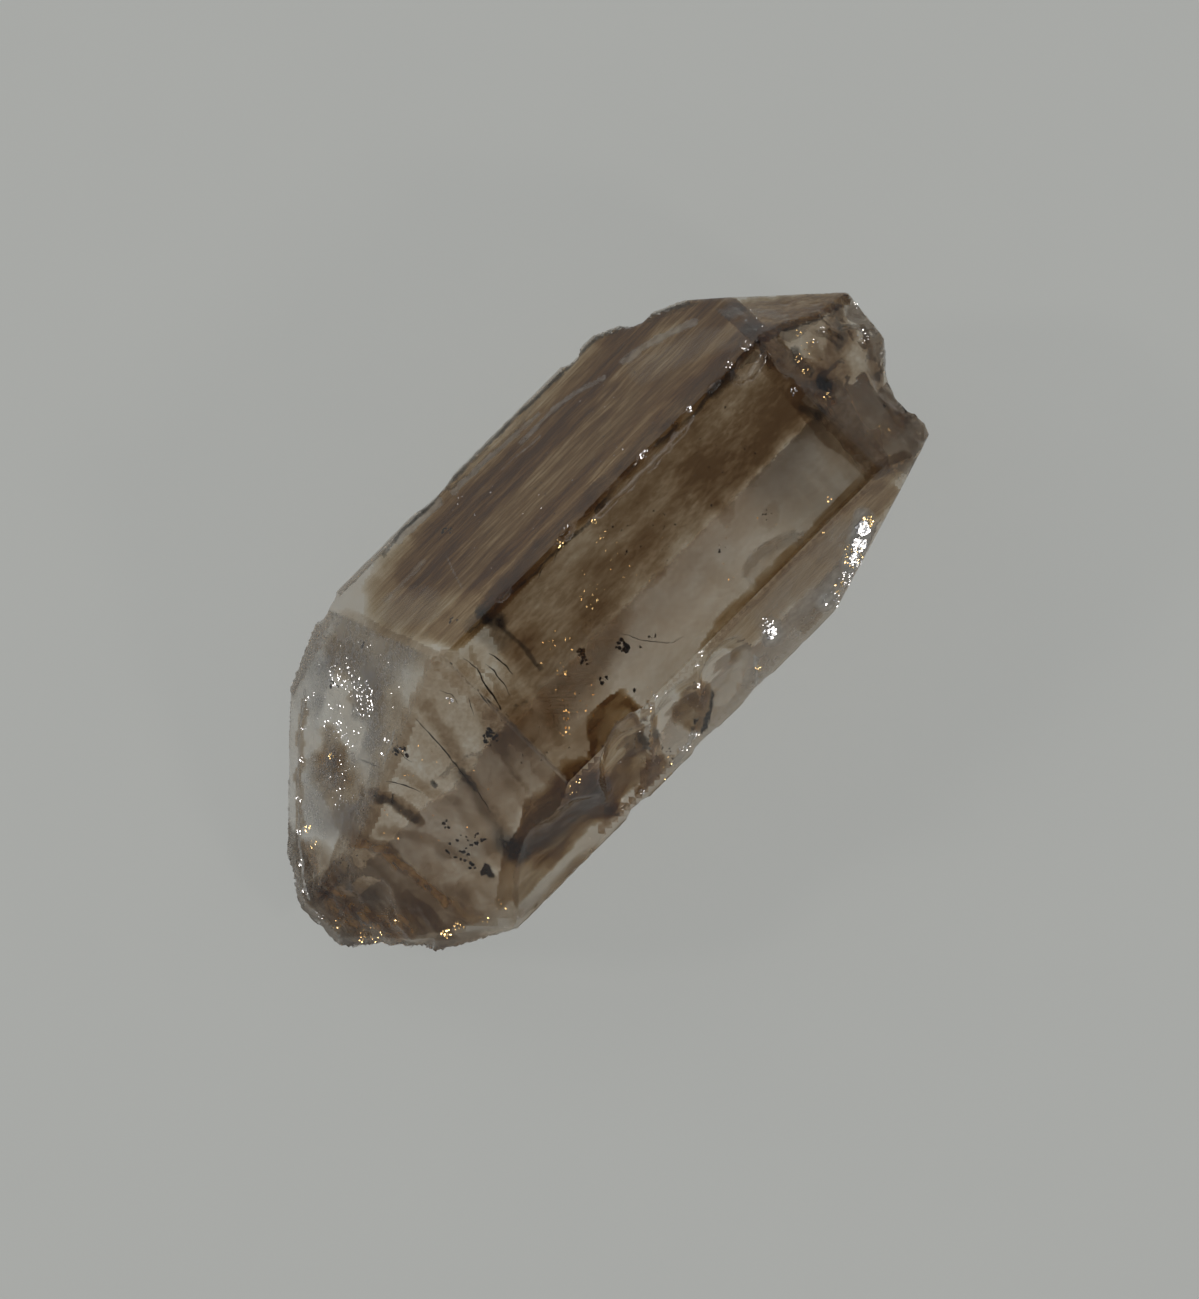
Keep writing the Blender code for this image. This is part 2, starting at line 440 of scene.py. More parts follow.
def stain_finish(name, tint, streak, patchy):
    """Clear smoke, which light crosses and takes the tint of: deeper where it is denser, with streaks along
    the crystal's length and fine mottling."""
    finish = Finish(name)
    place = finish.node("TexCoord", {}, {}, "Object")
    drawn_out = finish.node("VectorMath", {"operation": "MULTIPLY"}, {0: place, 1: (streak, 1.0, 1.0)})
    clouds = finish.steps(finish.noise(0.9, 4.0, drawn_out), (0.30, 0.0), (0.70, 1.0))
    mottling = finish.steps(finish.noise(5.0, 3.0, drawn_out), (0.35, 0.0), (0.65, 1.0))
    share = finish.node("Attribute", {"attribute_name": "share"}, {}, "Fac")
    density = share * (1 - patchy + clouds * (1.3 * patchy) + mottling * (0.6 * patchy))
    stops = []
    for step in range(SHADES + 1):
        shade = tuple(channel ** (step / SHADES) for channel in tint)
        stops.append((step / SHADES, shade + (1.0,)))
    finish.set(
        Base_Color=finish.steps(density, *stops),
        Roughness=0.0,
        IOR=1.0,
        Transmission_Weight=1.0,
    )
    return finish


# The smoke and haze tints also paint shade where a film stands in for it. The black film paints the shadows
# below the ridge and along the rim, as well as dark patches.
smoke_and_shade_tint = stain_finish("brown_smoke_and_shade", (0.012, 0.0018, 0.00007), 0.12, 0.65)
haze_and_shade_tint = stain_finish("brown_haze_and_shade", (0.050, 0.020, 0.0058), 0.35, 0.50)
mottled = stain_finish("mottled_haze", (0.070, 0.022, 0.0050), 0.55, 1.00)
black_patch_and_shade = film_finish("black_film", (0.006, 0.0025, 0.001, 1.0), (0.050, 0.028, 0.014, 1.0), 0.70, 5.0)

# The strokes of each film follow what shows at their pixels: bands, streaks, patches and shadows.
# Brown smoke and painted shade: the dark band under the back face stands in for the shaded floor under the
# crystal, seen through that face.
film("smoke_and_shade_back", "back", 0.7, smoke_and_shade_tint, [
    ([(475, 540), (560, 452), (640, 372), (700, 318)], 46, 24, 0.60),
    ([(425, 590), (455, 560)], 22, 40, 0.36),
    ([(625, 341), (617, 359), (602, 392), (579, 418), (543, 453), (497, 481), (464, 509), (446, 530),
      (412, 572)], 8, 16, 0.34),
    ([(575, 418), (602, 388)], 10, 14, 0.34),
    ([(500, 484), (468, 513)], 8, 14, 0.28),
    ([(410, 575), (435, 585)], 8, 14, 0.45),
    ([(600, 330), (660, 312), (700, 306)], 8, 10, 0.40),
    ([(489, 571), (500, 560)], 4, 9, 0.34),
    ([(520, 590), (476, 615), (450, 632)], 8, 14, 0.36),
    ([(400, 600), (430, 560)], 26, 20, 0.22),
    ([(430, 552), (520, 466), (600, 385)], 1.5, 3.0, 0.30),
    ([(455, 566), (560, 462), (650, 378)], 1.5, 3.5, 0.26),
    ([(500, 566), (600, 470), (690, 380)], 2.0, 4.0, 0.26),
], cell=3.0)
film("smoke_tip_back", "right back", 0.6, smoke_and_shade_tint, [
    ([(720, 330), (780, 318), (840, 304)], 16, 12, 0.46),
    ([(745, 335), (790, 325), (850, 312)], 4, 6, 0.30),
], cell=3.0)
film("smoke_left_back", "left back", 0.6, haze_and_shade_tint, [
    ([(380, 690), (395, 740), (385, 790)], 10, 20, 0.34),
    ([(330, 765), (345, 795), (360, 820)], 12, 18, 0.50),
    ([(325, 735), (332, 760)], 5, 10, 0.40),
    ([(360, 640), (420, 640)], 14, 26, 0.26),
    ([(335, 650), (345, 665)], 8, 14, 0.34),
    ([(310, 860), (330, 900)], 12, 16, 0.45),
    ([(300, 700), (296, 800), (300, 870)], 2.0, 5.0, 0.40),
    ([(350, 700), (362, 716)], 3.0, 6.0, 0.34),
], cell=3.0)
# Brown smoke and painted shade: the dark band below the ridge stands in for the shaded floor under the
# crystal, seen through the top face. The strokes further left are brown streaks.
film("smoke_and_shade_top", "top", 1.6, haze_and_shade_tint, [
    ([(775, 385), (700, 455), (600, 555), (545, 610)], 38, 24, 0.56),
    ([(785, 400), (735, 450), (700, 480)], 16, 22, 0.92),
    ([(735, 474), (690, 505), (650, 535), (610, 570), (585, 600)], 8, 16, 0.22),
    ([(735, 400), (690, 432), (650, 470), (606, 520)], 10, 14, 0.32),
    ([(740, 455), (715, 470)], 12, 14, 0.28),
    ([(795, 400), (835, 445), (872, 482)], 8, 18, 0.12),
    ([(540, 650), (532, 700), (520, 745), (510, 800), (505, 845)], 16, 30, 0.28),
    ([(600, 620), (585, 660), (570, 720)], 16, 26, 0.26),
    ([(560, 760), (590, 740)], 12, 26, 0.22),
    ([(716, 512), (722, 516)], 4, 12, 0.12),
    ([(766, 520), (771, 512)], 4, 12, 0.08),
    ([(690, 560), (740, 590)], 3, 14, 0.05),
    ([(500, 640), (540, 690), (560, 740)], 2.0, 6.0, 0.30),
    ([(470, 650), (500, 690), (530, 740)], 1.5, 5.0, 0.24),
    ([(494, 618), (518, 644), (541, 669)], 6.0, 12.0, 0.42),
])
film("mottling_top", "top", 0.9, mottled, [
    ([(540, 740), (620, 640), (720, 560), (850, 450)], 70, 40, 0.09),
    ([(480, 660), (500, 800)], 40, 40, 0.12),
], cell=8.0)
film("smoke_tip", "right top", 0.9, haze_and_shade_tint, [
    ([(790, 350), (830, 385), (875, 430)], 42, 16, 0.14),
    ([(778, 345), (775, 360)], 6, 8, 0.40),
    ([(838, 316), (838, 345), (836, 369), (830, 383)], 7, 9, 0.60),
    ([(880, 370), (900, 415)], 9, 12, 0.50),
    ([(805, 405), (840, 445), (866, 470)], 4, 10, 0.25),
    ([(815, 345), (822, 372)], 2.0, 5.0, 0.50),
    ([(862, 330), (880, 372)], 3.0, 6.0, 0.45),
], cell=3.0)
film("mottling_tip", "right top", 0.6, mottled, [
    ([(790, 340), (850, 360), (890, 430)], 40, 20, 0.14),
], cell=6.0)
film("smoke_left", "left top", 1.2, haze_and_shade_tint, [
    ([(535, 672), (520, 720), (500, 790), (486, 840)], 8, 24, 0.16),
    ([(340, 870), (380, 910), (440, 915)], 24, 20, 0.42),
    ([(440, 700), (470, 790)], 20, 30, 0.05),
    ([(360, 840), (420, 880), (470, 900)], 16, 26, 0.14),
    ([(425, 705), (452, 745), (478, 790), (505, 830)], 3.0, 8.0, 0.34),
    ([(478, 700), (500, 745), (522, 800)], 3.0, 8.0, 0.26),
    ([(400, 770), (450, 800), (500, 860)], 2.0, 7.0, 0.20),
    ([(385, 830), (440, 845), (490, 880)], 2.0, 7.0, 0.30),
    ([(352, 836), (366, 838), (384, 845), (400, 860)], 1.6, 4.0, 0.60),
    ([(375, 798), (388, 800), (402, 806), (414, 812), (420, 822)], 2.5, 7.0, 0.62),
], cell=2.4)
film("mottling_left", "left top", 0.7, mottled, [
    ([(430, 720), (420, 800), (480, 860)], 70, 30, 0.16),
    ([(380, 900), (440, 905)], 30, 30, 0.12),
], cell=8.0)
film("smoke_end", "left tip", 0.8, haze_and_shade_tint, [
    ([(310, 860), (330, 900), (380, 935), (440, 925)], 24, 18, 0.44),
    ([(330, 905), (350, 925)], 6, 10, 0.60),
], cell=3.0)
film("smoke_front", "front", 0.7, smoke_and_shade_tint, [
    ([(903, 462), (878, 474), (857, 492), (841, 508)], 2.5, 9, 0.28),
    ([(841, 508), (814, 535), (786, 565), (720, 628)], 1.0, 8, 0.22),
    ([(880, 495), (800, 572), (724, 650)], 9, 12, 0.26),
    ([(700, 690), (720, 660)], 12, 14, 0.28),
    ([(838, 566), (822, 590), (804, 622)], 5, 12, 0.22),
], cell=3.0)
film("mottling_front", "front", 0.4, mottled, [
    ([(880, 500), (780, 610), (700, 690)], 34, 16, 0.12),
    ([(640, 740), (560, 850)], 34, 16, 0.50),
], cell=6.0)
# Painted shade: darker brown films in the shell-shaped breaks of the front face, where shade falls.
film("shade_in_shells", "front", 1.9, smoke_and_shade_tint, [
    ([(628, 722), (632, 740), (620, 770), (604, 800)], 14, 12, 0.30),
    ([(604, 760), (606, 730), (620, 714), (638, 713), (652, 726), (655, 748)], 2.0, 7.0, 0.42),
    ([(650, 770), (620, 800)], 10, 14, 0.26),
    ([(592, 798), (570, 820), (548, 848)], 16, 18, 0.64),
    ([(540, 870), (510, 890)], 14, 20, 0.26),
    ([(700, 700), (690, 720)], 6, 10, 0.30),
], cell=3.0)
film("ridge_shadow", "top", 0.3, black_patch_and_shade, [
    ([(736, 366), (714, 390), (694, 416), (676, 429)], 0.8, 3.0, 0.60),
    ([(676, 429), (653, 455), (628, 478), (607, 501), (597, 512)], 2.4, 2.6, 1.0),
    ([(592, 521), (577, 534), (562, 547), (541, 567), (521, 585)], 0.6, 2.4, 0.60),
    ([(521, 585), (493, 613), (467, 633)], 0.5, 2.4, 0.45),
    ([(757, 353), (742, 368), (736, 372)], 4.0, 7.0, 0.75),
    ([(730, 378), (712, 394)], 2.0, 6.0, 0.55),
], cell=1.6, ragged=3.0, margin=0.08)
film("rim_shadow", "back", 0.25, black_patch_and_shade, [
    ([(384, 554), (399, 532), (429, 504), (450, 481), (481, 448), (511, 418), (542, 390), (572, 362),
      (585, 345), (612, 327), (630, 324), (663, 309), (688, 304)], 0.8, 2.8, 0.75),
], cell=1.8, ragged=2.0, margin=0.05)
film("patches_top", "top", 1.2, black_patch_and_shade, [
    ([(486, 616), (500, 622)], 3.0, 9.0, 0.70),
    ([(502, 626), (524, 649), (541, 669)], 1.0, 4.0, 0.55),
    ([(478, 628), (500, 640)], 5.0, 12.0, 0.34),
], cell=2.0, ragged=3.5)
film("patches_left", "left top", 1.0, black_patch_and_shade, [
    ([(378, 800), (391, 804), (407, 811), (416, 819)], 1.8, 4.5, 0.55),
    ([(390, 803), (391, 796)], 0.8, 2.0, 0.70),
    ([(464, 774), (474, 786)], 1.5, 4.0, 0.60),
    ([(434, 781), (436, 783)], 1.2, 3.0, 0.70),
    ([(460, 775), (480, 800), (496, 830)], 2.0, 8.0, 0.22),
    ([(504, 843), (512, 850)], 4.0, 11.0, 0.62),
    ([(484, 874), (488, 866), (491, 876)], 2.4, 3.0, 0.92),
    ([(498, 836), (528, 850)], 5.0, 12.0, 0.30),
    ([(445, 848), (478, 850)], 6.0, 10.0, 0.20),
], cell=1.6, ragged=4.0)
# Dark patches and painted shade: the broad patch at the lower break stands in for shade, and the thin slit
# beside the breaks is a dark crack.
film("patches_and_shade_front", "front", 1.8, black_patch_and_shade, [
    ([(592, 798), (572, 818), (552, 842)], 8.0, 16.0, 0.42),
    ([(654, 738), (657, 741)], 4.0, 5.0, 0.60),
    ([(714, 701), (708, 715), (701, 731)], 2.0, 3.0, 0.85),
], cell=2.5, ragged=3.0)
film("patches_right", "right top", 0.9, black_patch_and_shade, [
    ([(797, 351), (800, 362), (808, 372)], 2.0, 6.0, 0.60),
    ([(822, 383), (824, 388)], 4.0, 5.0, 0.80),
    ([(806, 406), (820, 414)], 2.0, 6.0, 0.55),
    ([(905, 403), (910, 411)], 5.0, 4.0, 0.85),
    ([(784, 329), (807, 322), (829, 315), (843, 308)], 0.8, 2.0, 0.60),
    ([(838, 320), (840, 350)], 1.5, 5.0, 0.45),
], cell=2.0, ragged=4.0, margin=0.08)

# Pale films: silky veils of healed cracks where the quartz broke and grew together again, in thin streaks
# beside the edges. Painted light, as pale films where light catches the crystal: glare on the front face, a
# reflection, a bright left rim and light streaks on the back face. And the frosting under the left back
# face.
veil_and_glare = film_finish("pale_veil_and_glare", (0.62, 0.60, 0.57, 1.0), (0.86, 0.84, 0.80, 1.0), 0.40, 2.2)
frosting = film_finish("frosting", (0.12, 0.10, 0.09, 1.0), (0.50, 0.49, 0.51, 1.0), 1.00, 3.0)
# Painted light: pale streaks across the back face where brighter light shows through it, and pale lines near
# its rim.
film("painted_light_streaks_back", "back", 0.3, veil_and_glare, [
    ([(397, 536), (415, 519), (434, 501)], 5.0, 4.0, 0.42),
    ([(452, 492), (477, 467), (508, 439), (538, 413)], 1.8, 2.5, 0.33),
    ([(520, 442), (559, 403), (582, 389), (604, 378)], 1.6, 2.5, 0.33),
    ([(500, 470), (540, 436)], 0.8, 1.6, 0.27),
    ([(622, 360), (655, 339), (694, 322)], 2.4, 3.5, 0.36),
    ([(640, 372), (700, 344), (740, 336)], 6.0, 12.0, 0.13),
    ([(384, 600), (400, 585), (424, 560)], 1.6, 2.5, 0.21),
    ([(446, 556), (462, 588)], 0.8, 1.6, 0.21),
    ([(395, 610), (425, 604)], 10.0, 14.0, 0.13),
], cell=1.8, ragged=1.2, margin=0.06)
# A painted reflection: a pale streak along the right back face near the right end.
film("painted_sheen_tip", "right back", 0.5, veil_and_glare, [
    ([(700, 309), (740, 312), (784, 317)], 2.0, 5.0, 0.25),
], cell=2.0, ragged=2.0, margin=0.06)
film("veils_right", "right top", 1.3, veil_and_glare, [
    ([(808, 396), (832, 423), (862, 456)], 2.0, 3.0, 0.75),
    ([(832, 392), (850, 428), (874, 460)], 6.0, 9.0, 0.60),
    ([(876, 436), (878, 460)], 4.0, 3.0, 0.45),
], cell=2.0, ragged=2.0)
# Painted highlights: pale films that stand in for the glare of the lamps on the front face near its right
# end, and for the bright edges of its breaks.
film("painted_glare_front", "front", 0.25, veil_and_glare, [
    ([(862, 520), (858, 540), (852, 562)], 6.0, 9.0, 1.0),
    ([(858, 560), (840, 580), (825, 600)], 5.0, 12.0, 0.70),
    ([(771, 628), (771, 636)], 4.0, 10.0, 0.95),
    ([(840, 540), (800, 585), (770, 620)], 8.0, 18.0, 0.26),
    ([(815, 600), (785, 640), (750, 680)], 6.0, 12.0, 0.30),
    ([(735, 655), (728, 700)], 8.0, 12.0, 0.22),
    ([(754, 656), (757, 683)], 0.8, 1.5, 0.80),
    ([(693, 733), (683, 748), (676, 762)], 1.6, 3.0, 0.70),
], cell=2.0, ragged=2.0)
# A painted highlight: a pale line along the left rim where light catches it, and a short pale streak beside
# it.
film("painted_rim_light_left", "left back", 0.2, veil_and_glare, [
    ([(302, 690), (297, 730), (295, 780), (296, 830), (299, 880), (306, 900)], 0.9, 1.5, 0.80),
    ([(394, 729), (390, 745), (384, 762)], 0.7, 1.2, 0.70),
], cell=1.6, ragged=1.5, margin=0.04)
film("frost_left", "left back", 0.25, frosting, [
    ([(345, 680), (350, 740), (332, 800)], 22, 24, 0.62),
    ([(360, 620), (390, 650)], 20, 24, 0.42),
    ([(320, 640), (306, 700)], 8, 14, 0.28),
], cell=2.5, ragged=8.0, margin=0.08)

# Iron stains: thin rusty gold films of iron oxide along the lowest edge of the left end, in its broken tip
# and in a few cracks.
rust = film_finish("iron_stain", (0.16, 0.065, 0.018, 1.0), (0.50, 0.27, 0.08, 1.0), 0.50, 2.0)
film("stains_left", "left top", 0.5, rust, [
    ([(312, 820), (336, 822), (353, 837)], 1.2, 3.0, 0.50),
    ([(354, 845), (364, 844), (384, 851), (394, 859), (409, 873), (425, 886),
      (447, 903)], 2.4, 6.0, 0.62),
    ([(447, 903), (470, 915)], 3.0, 10.0, 0.35),
    ([(395, 925), (430, 925)], 5.0, 12.0, 0.30),
], cell=2.0, ragged=5.0, margin=0.06)
film("stains_end", "left tip", 0.5, rust, [
    ([(330, 900), (345, 915), (375, 930), (400, 930)], 8.0, 14.0, 0.55),
    ([(312, 830), (316, 850)], 2.0, 6.0, 0.45),
], cell=2.0, ragged=5.0, margin=0.06)
film("stains_back", "left back", 0.4, rust, [
    ([(322, 760), (338, 780)], 5.0, 10.0, 0.40),
    ([(305, 840), (312, 870)], 2.0, 6.0, 0.40),
], cell=2.0, ragged=5.0, margin=0.06)
film("stains_top", "top", 1.6, rust, [
    ([(600, 640), (575, 670), (560, 700)], 12.0, 20.0, 0.28),
], cell=3.0, ragged=5.0)
film("stains_right", "right top", 0.6, rust, [
    ([(769, 346), (788, 350)], 5.0, 8.0, 0.40),
    ([(797, 357), (803, 371)], 3.0, 6.0, 0.40),
    ([(818, 396), (830, 402)], 2.0, 5.0, 0.60),
    ([(895, 420), (880, 440)], 4.0, 12.0, 0.30),
], cell=2.0, ragged=4.0, margin=0.06)

# Needle cracks: short, dark, hair-thin channels in the clear left end, a few of them beaded. Each row has
# the face that it shows through, its depth and its radius in mm, and its path in pixels.
NEEDLES = [
    ("left top", 1.0, 0.042, [(460.6, 661), (474, 672), (482, 689), (493, 704), (502, 721)]),
    ("top", 1.3, 0.0364, [(489.6, 653), (500.5, 660), (514, 674.5)]),
    ("top", 1.6, 0.028, [(486, 664), (494.5, 671), (506.6, 687), (511.5, 696)]),
    ("left top", 1.4, 0.021, [(469, 696), (472, 706), (475, 716)]),
    ("left top", 0.9, 0.0476, [(416, 718), (430, 733), (447, 752), (464, 774), (474, 786)]),
    ("left top", 1.2, 0.0336, [(474, 786), (484, 800), (491, 813)]),
    ("left back", 0.5, 0.0336, [(357.6, 759), (368, 763), (379.4, 768)]),
    ("left top", 0.7, 0.0364, [(386.6, 781), (406, 785), (422, 792)]),
    ("left top", 0.8, 0.0252, [(398, 748), (405, 757), (412, 762)]),
    ("top", 1.0, 0.0224, [(545, 565), (541, 572), (538, 580)]),
    ("top", 1.0, 0.0224, [(562, 545), (557, 553), (554, 562)]),
    ("top", 2.0, 0.0196, [(619, 632), (640, 640), (671, 643), (683, 637)]),
    ("back", 0.5, 0.0252, [(617, 352), (621, 347), (625, 340)]),
    ("left top", 1.1, 0.0224, [(440, 690), (452, 694), (459, 704)]),
]
NEEDLE_STEP = 2.0
NEEDLE_SIDES = 6
NEEDLE_SWAY = 0.05
NEEDLE_SLOPE = 0.25
needle_mesh = bmesh.new()
for number, (face, depth, radius, points) in enumerate(NEEDLES):
    path = []
    for (x0, y0), (x1, y1) in zip(points, points[1:]):
        steps = max(2, round(math.hypot(x1 - x0, y1 - y0) / NEEDLE_STEP))
        for step in range(steps):
            path.append((x0 + (x1 - x0) * step / steps, y0 + (y1 - y0) * step / steps))
    path.append(points[-1])
    rings = []
    for index, (x, y) in enumerate(path):
        t = index / (len(path) - 1)
        sway = noise.noise_vector(Vector((x * 0.12, y * 0.12, number))) * NEEDLE_SWAY
        middle = inside(face, x, y, depth * (1 + NEEDLE_SLOPE * t)) + sway
        ahead = path[min(index + 1, len(path) - 1)]
        behind = path[max(index - 1, 0)]
        along = (inside(face, *ahead, depth) - inside(face, *behind, depth)).normalized()
        across = along.orthogonal().normalized()
        upward = along.cross(across)
        beads = 1.0 + 0.6 * noise.noise(middle * 3.0)
        size = radius * (0.25 + 0.75 * math.sin(math.pi * t)) * beads
        turns = [math.tau * side / NEEDLE_SIDES for side in range(NEEDLE_SIDES)]
        ring = [middle + (across * math.cos(turn) + upward * math.sin(turn)) * size for turn in turns]
        rings.append([needle_mesh.verts.new(place * MM) for place in ring])
    for first, second in zip(rings, rings[1:]):
        for side in range(NEEDLE_SIDES):
            after = (side + 1) % NEEDLE_SIDES
            needle_mesh.faces.new((first[side], first[after], second[after], second[side]))
    needle_mesh.faces.new(rings[0][::-1])
    needle_mesh.faces.new(rings[-1])
bmesh.ops.recalc_face_normals(needle_mesh, faces=needle_mesh.faces)
mineral = Finish("dark_mineral")
mineral_grain = mineral.noise(5.0, 3.0)
mineral.set(
    Base_Color=mineral.mix(mineral_grain, (0.004, 0.003, 0.003, 1.0), (0.05, 0.028, 0.018, 1.0)),
    Roughness=0.35 + mineral_grain * 0.4,
)
add_object("needle_cracks", needle_mesh, mineral)

# Specks: clusters of tiny, angular, almost black mineral grains inside the quartz. Each row has the face
# that they show through, their depth in mm, the cluster's middle and spread in pixels, how many there are,
# and their radius in mm. A grain keeps a distance of some radii from the surface.
SPECKS = [
    ("top", 2.2, 621.6, 645.7, 7, 16, 0.110), ("top", 2.2, 581.4, 652.9, 5, 9, 0.108),
    ("top", 2.0, 585, 663.6, 4, 5, 0.090), ("top", 1.8, 603.8, 679.6, 4, 8, 0.099),
    ("top", 1.8, 635, 688.6, 2, 3, 0.090), ("top", 2.1, 642, 645.7, 3, 4, 0.072),
    ("top", 2.1, 651, 635, 4, 5, 0.072), ("top", 1.5, 724, 410, 2, 1, 0.090),
    ("left top", 1.3, 492, 736, 9, 18, 0.108), ("left top", 1.0, 402, 750, 8, 8, 0.099),
    ("left top", 1.0, 459, 848, 14, 20, 0.099), ("left top", 1.2, 478, 836, 8, 8, 0.108),
    ("left top", 1.2, 448, 826, 6, 4, 0.090), ("left top", 1.2, 473, 865, 4, 5, 0.108),
    ("top", 1.8, 455, 622, 5, 4, 0.081), ("top", 2.4, 720, 548, 6, 5, 0.063),
    ("top", 2.4, 766, 515, 6, 5, 0.063), ("back", 0.6, 446, 530, 5, 7, 0.108),
    ("back", 0.6, 610, 440, 14, 8, 0.054), ("back", 0.6, 630, 380, 12, 6, 0.054),
    ("back", 0.7, 545, 500, 20, 10, 0.054), ("top", 1.6, 640, 540, 40, 22, 0.047),
    ("top", 1.6, 720, 470, 40, 18, 0.043), ("left back", 0.5, 363, 647, 4, 4, 0.090),
    ("left back", 0.5, 330, 685, 6, 6, 0.099), ("left top", 0.8, 345, 860, 20, 8, 0.054),
    ("front", 1.5, 640, 730, 22, 16, 0.050), ("front", 1.3, 668, 758, 8, 6, 0.072),
    ("right top", 0.8, 882, 405, 3, 2, 0.090), ("top", 1.5, 545, 760, 60, 26, 0.043),
]
SPECK_ROOM = 1.5
SPECK_ROUGH = 0.35
speck_draw = random.Random(41)
speck_mesh = bmesh.new()
for face, depth, x, y, spread, count, radius in SPECKS:
    for grain in range(count):
        turn = speck_draw.uniform(0, math.tau)
        out = spread * math.sqrt(speck_draw.random())
        middle = inside(face, x + out * math.cos(turn), y + out * math.sin(turn),
                        depth * speck_draw.uniform(0.8, 1.25))
        size = radius * speck_draw.uniform(0.5, 1.3)
        spin = Vector([speck_draw.uniform(-1, 1) for axis in range(3)])
        squash = Matrix.Diagonal([speck_draw.uniform(0.5, 1.3) for axis in range(3)]).to_4x4()
        if depth_of(middle) < SPECK_ROOM * size:
            continue
        turned = spin.to_track_quat("Z", "Y").to_matrix().to_4x4()
        where = Matrix.Translation(middle * MM) @ turned @ squash @ Matrix.Scale(size * MM, 4)
        lump = bmesh.ops.create_icosphere(speck_mesh, subdivisions=1, radius=1.0, matrix=where)
        for vert in lump["verts"]:
            push = SPECK_ROUGH * noise.noise(vert.co / MM * 17.0)
            vert.co += (vert.co - middle * MM) * push
add_object("dark_specks", speck_mesh, mineral)

# Glints: little flat cracks and steps that catch a lamp. Each is a thin angular plate, tilted so that it
# throws a lamp's light to an eye above, some a little off, so that they flare and fade as the crystal is
# turned. The rows are as those of the specks, and glints of the skin sit in the surface itself.
LAMP_DIRECTION = Vector((-0.50, 0.60, 0.62)).normalized()
FRONT_LAMP_DIRECTION = Vector((0.25, -0.75, 0.60)).normalized()
WHITE_GLINTS = [
    ("skin", 0, 340, 676, 13, 40, 0.056), ("skin", 0, 362, 690, 12, 34, 0.060),
    ("skin", 0, 366, 708, 9, 26, 0.062), ("skin", 0, 345, 700, 22, 22, 0.042),
    ("skin", 0, 336, 726, 13, 26, 0.052), ("skin", 0, 350, 738, 10, 16, 0.048),
    ("skin", 0, 345, 770, 22, 26, 0.034), ("skin", 0, 342, 800, 12, 16, 0.045),
    ("skin", 0, 350, 690, 50, 50, 0.030), ("skin", 0, 306, 700, 3, 9, 0.045),
    ("skin", 0, 302, 730, 3, 9, 0.045), ("skin", 0, 300, 760, 3, 8, 0.040),
    ("skin", 0, 296, 800, 4, 9, 0.045), ("skin", 0, 296, 835, 4, 10, 0.050),
    ("skin", 0, 299, 865, 4, 9, 0.045), ("skin", 0, 303, 893, 4, 9, 0.045),
    ("skin", 0, 318, 915, 6, 7, 0.040), ("skin", 0, 387, 740, 3, 6, 0.050),
    ("skin", 0, 383, 755, 2, 5, 0.050), ("skin", 0, 745, 348, 6, 14, 0.045),
    ("skin", 0, 727, 366, 5, 10, 0.040), ("skin", 0, 688, 409, 5, 12, 0.045),
    ("skin", 0, 645, 456, 6, 16, 0.050), ("skin", 0, 568, 529, 4, 6, 0.040),
    ("skin", 0, 857, 306, 4, 9, 0.055), ("skin", 0, 820, 331, 4, 7, 0.055),
    ("skin", 0, 814, 343, 3, 6, 0.055), ("skin", 0, 793, 394, 4, 10, 0.065),
    ("skin", 0, 862, 338, 7, 16, 0.050), ("skin", 0, 855, 386, 4, 5, 0.045),
    ("skin", 0, 769, 632, 7, 34, 0.110), ("skin", 0, 766, 622, 6, 16, 0.060),
    ("skin", 0, 861, 529, 7, 90, 0.130), ("skin", 0, 858, 545, 7, 90, 0.120),
    ("skin", 0, 854, 560, 7, 40, 0.090), ("skin", 0, 845, 577, 8, 28, 0.060),
    ("skin", 0, 830, 600, 10, 16, 0.050), ("skin", 0, 655, 697, 3, 7, 0.070),
    ("skin", 0, 650, 706, 3, 6, 0.050), ("skin", 0, 700, 653, 3, 7, 0.050),
    ("skin", 0, 697, 664, 3, 7, 0.050), ("skin", 0, 699, 685, 3, 7, 0.055),
    ("skin", 0, 694, 734, 5, 10, 0.055), ("skin", 0, 684, 747, 6, 12, 0.055),
    ("skin", 0, 643, 792, 4, 7, 0.050), ("left top", 0.6, 450, 699, 4, 6, 0.110),
    ("left top", 0.5, 404, 747, 4, 5, 0.100), ("back", 0.4, 600, 430, 60, 20, 0.040),
    ("back", 0.4, 500, 520, 50, 18, 0.040), ("skin", 0, 757, 319, 16, 8, 0.030),
    ("skin", 0, 620, 740, 26, 10, 0.030), ("skin", 0, 680, 700, 26, 10, 0.030),
]
